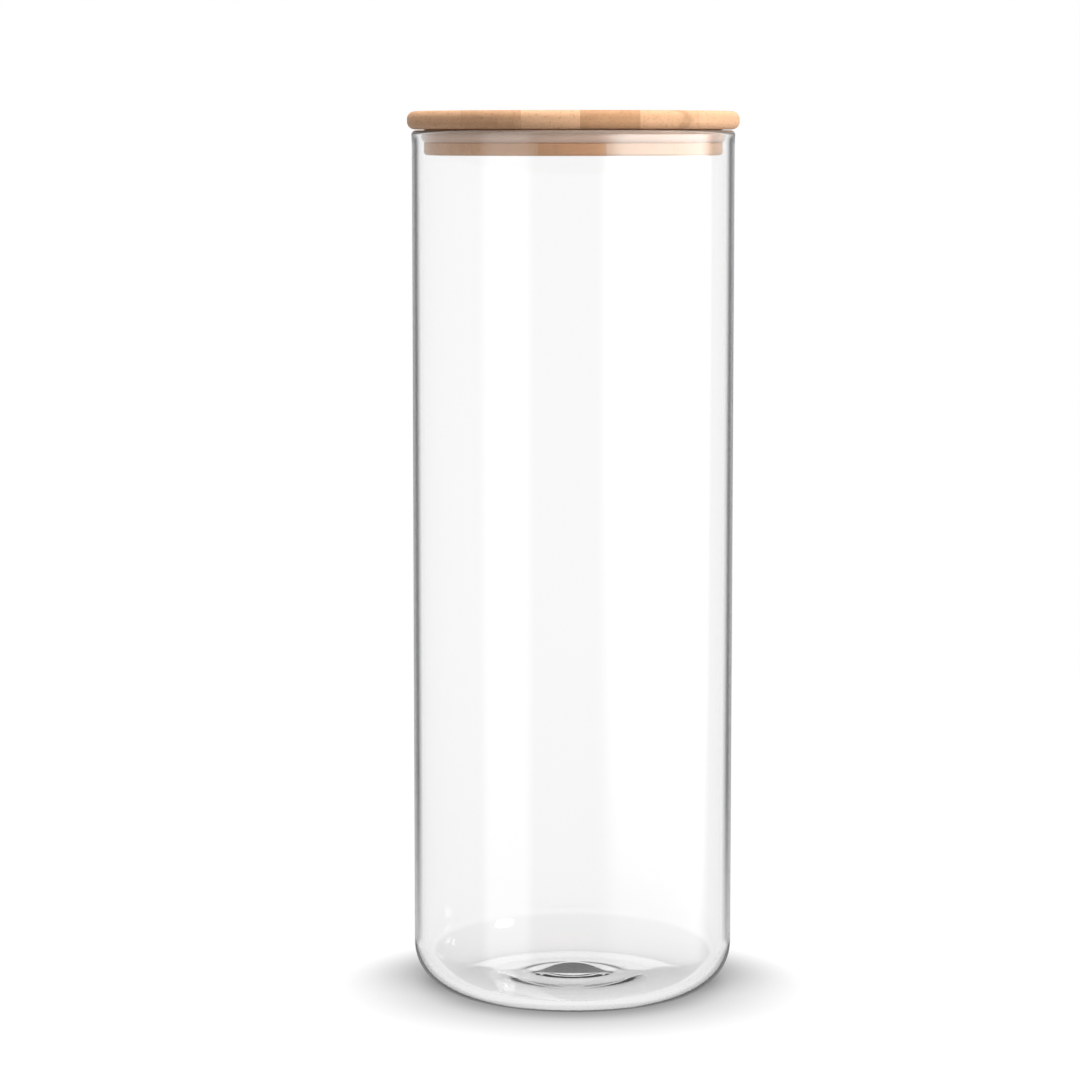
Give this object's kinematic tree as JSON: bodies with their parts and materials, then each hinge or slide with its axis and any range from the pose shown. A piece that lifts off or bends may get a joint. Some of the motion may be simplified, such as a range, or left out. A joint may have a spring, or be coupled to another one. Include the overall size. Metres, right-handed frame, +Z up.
{
  "type": "lidded glass canister",
  "caption": "Tall straight glass storage canister with a rounded foot and a flat bamboo lid that pushes in on a silicone seal and lifts straight off.",
  "frame": {"origin": "centre of the flat ring that the canister stands on, on the lid's and the body's common axis", "axes": "+Z up along the common axis of the body and the lid, the way the lid lifts off; the object is round, so +X and +Y are any two level directions"},
  "size_m": [0.103, 0.103, 0.2759],
  "materials": {
    "clear_glass": "clear, polished",
    "bamboo": "fine sanded, thin satin oil",
    "clear_silicone": "translucent, soft satin"
  },
  "bodies": {
    "canister": {"glass_body": "clear_glass"},
    "lid": {"lid_disc": "bamboo", "lid_plug": "bamboo", "lid_seal": "clear_silicone"}
  },
  "joints": [
    {"name": "lid_lift", "type": "slide", "parent": "canister", "child": "lid", "axis": [0, 0, 1], "range_m": [0, 0.03]}
  ]
}
